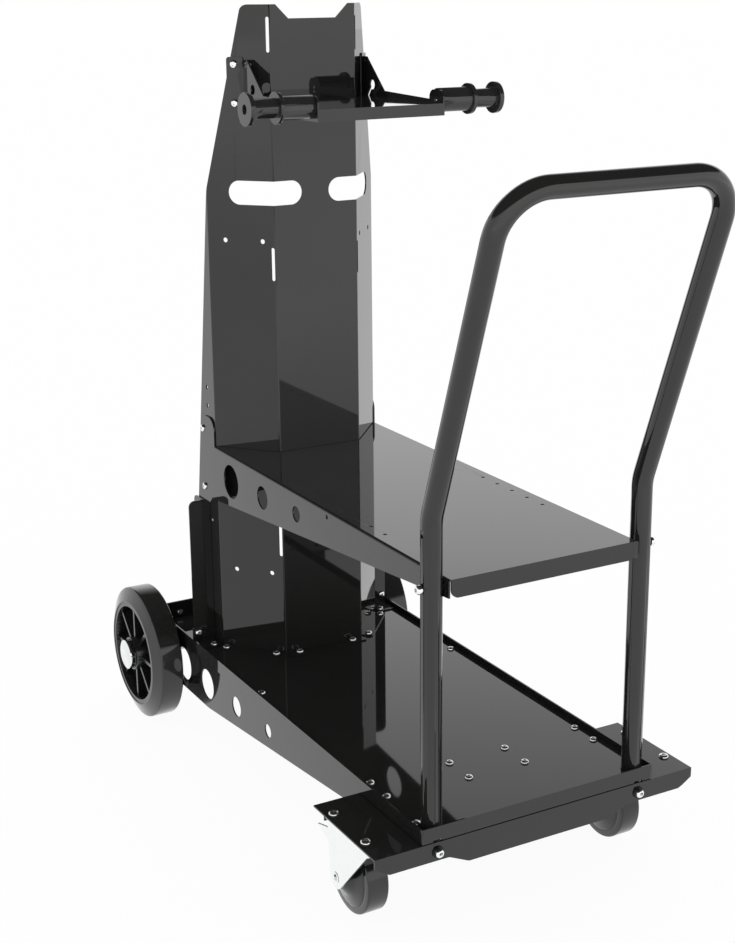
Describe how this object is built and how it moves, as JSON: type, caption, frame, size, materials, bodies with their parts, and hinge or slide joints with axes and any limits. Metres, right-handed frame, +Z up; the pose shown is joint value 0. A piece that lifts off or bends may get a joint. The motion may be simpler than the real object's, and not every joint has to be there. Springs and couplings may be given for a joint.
{
  "type": "welding machine trolley",
  "caption": "Black sheet-metal trolley with a low tray, a shelf, a tall folded back panel for a gas bottle, a bent tube handle, large rear wheels and front swivel casters.",
  "frame": {"origin": "on the floor under the centre of the bounding box", "axes": "+Z up, -Y towards the handle and casters, +Y towards the gas bottle platform and large wheels, +X to the right looking along +Y"},
  "size_m": [0.4636, 0.998, 1.048],
  "materials": {
    "black_paint": "glossy black powder coat",
    "bobbin_plastic": "glossy black moulding",
    "rear_tyre_rubber": "smooth solid rubber",
    "rim_plastic": "black moulded plastic",
    "bush_plastic": "dark bearing plastic",
    "caster_core_plastic": "black moulded plastic",
    "caster_tyre_rubber": "smooth solid rubber",
    "caster_zinc": "bright zinc plate",
    "cap_steel": "bright pressed cap",
    "axle_steel": "turned bar",
    "zinc": "bright zinc plate",
    "washer_black": "blackened steel"
  },
  "bodies": {
    "frame": {"axle_cap_left": "cap_steel", "axle_cap_right": "cap_steel", "axle_washers": "zinc", "back_panel": "black_paint", "base_tray": "black_paint", "bobbin_screws": "zinc", "bottle_guard_left": "black_paint", "bottle_guard_right": "black_paint", "bracket_nuts": "zinc", "bracket_screws": "zinc", "cable_bobbin_left": "bobbin_plastic", "cable_bobbin_right": "bobbin_plastic", "cable_bracket": "black_paint", "caster_plate_left": "caster_zinc", "caster_plate_nuts": "zinc", "caster_plate_right": "caster_zinc", "caster_plate_screws": "zinc", "crossmember_nuts": "zinc", "crossmember_screws": "zinc", "crossmember_spacers": "zinc", "front_crossmember": "black_paint", "guard_nuts": "zinc", "guard_screws": "zinc", "handle_foot_collars": "washer_black", "handle_foot_nuts": "zinc", "handle_foot_screws": "zinc", "handle_nuts": "zinc", "handle_screws": "zinc", "handle_tube": "black_paint", "handle_washers": "washer_black", "panel_foot_nuts": "zinc", "panel_foot_screws": "zinc", "rear_axle": "axle_steel", "rear_wall_nuts": "zinc", "rear_wall_screws": "zinc", "shelf": "black_paint", "shelf_nuts": "zinc", "shelf_screws": "zinc", "side_rail_left": "black_paint", "side_rail_right": "black_paint", "tray_nuts": "zinc", "tray_screws": "zinc"},
    "rear_wheel_left": {"rear_tyre_left": "rear_tyre_rubber", "rear_rim_left": "rim_plastic", "wheel_bush_left": "bush_plastic"},
    "rear_wheel_right": {"rear_tyre_right": "rear_tyre_rubber", "rear_rim_right": "rim_plastic", "wheel_bush_right": "bush_plastic"},
    "caster_swivel_left": {"caster_fork_left": "caster_zinc", "caster_pin_left": "caster_zinc"},
    "caster_swivel_right": {"caster_fork_right": "caster_zinc", "caster_pin_right": "caster_zinc"},
    "caster_wheel_left": {"caster_core_left": "caster_core_plastic", "caster_tyre_left": "caster_tyre_rubber"},
    "caster_wheel_right": {"caster_core_right": "caster_core_plastic", "caster_tyre_right": "caster_tyre_rubber"}
  },
  "joints": [
    {"name": "rear_wheel_left_spin", "type": "hinge", "parent": "frame", "child": "rear_wheel_left", "pos_m": [-0.193, 0.399, 0.1], "axis": [1, 0, 0], "continuous": true},
    {"name": "caster_left_swivel", "type": "hinge", "parent": "frame", "child": "caster_swivel_left", "pos_m": [-0.1855, -0.29, 0.118], "axis": [0, 0, 1], "continuous": true},
    {"name": "caster_wheel_left_spin", "type": "hinge", "parent": "caster_swivel_left", "child": "caster_wheel_left", "pos_m": [-0.1855, -0.256, 0.05], "axis": [1, 0, 0], "continuous": true},
    {"name": "rear_wheel_right_spin", "type": "hinge", "parent": "frame", "child": "rear_wheel_right", "pos_m": [0.193, 0.399, 0.1], "axis": [1, 0, 0], "continuous": true},
    {"name": "caster_right_swivel", "type": "hinge", "parent": "frame", "child": "caster_swivel_right", "pos_m": [0.1855, -0.29, 0.118], "axis": [0, 0, 1], "continuous": true},
    {"name": "caster_wheel_right_spin", "type": "hinge", "parent": "caster_swivel_right", "child": "caster_wheel_right", "pos_m": [0.1855, -0.256, 0.05], "axis": [1, 0, 0], "continuous": true}
  ]
}
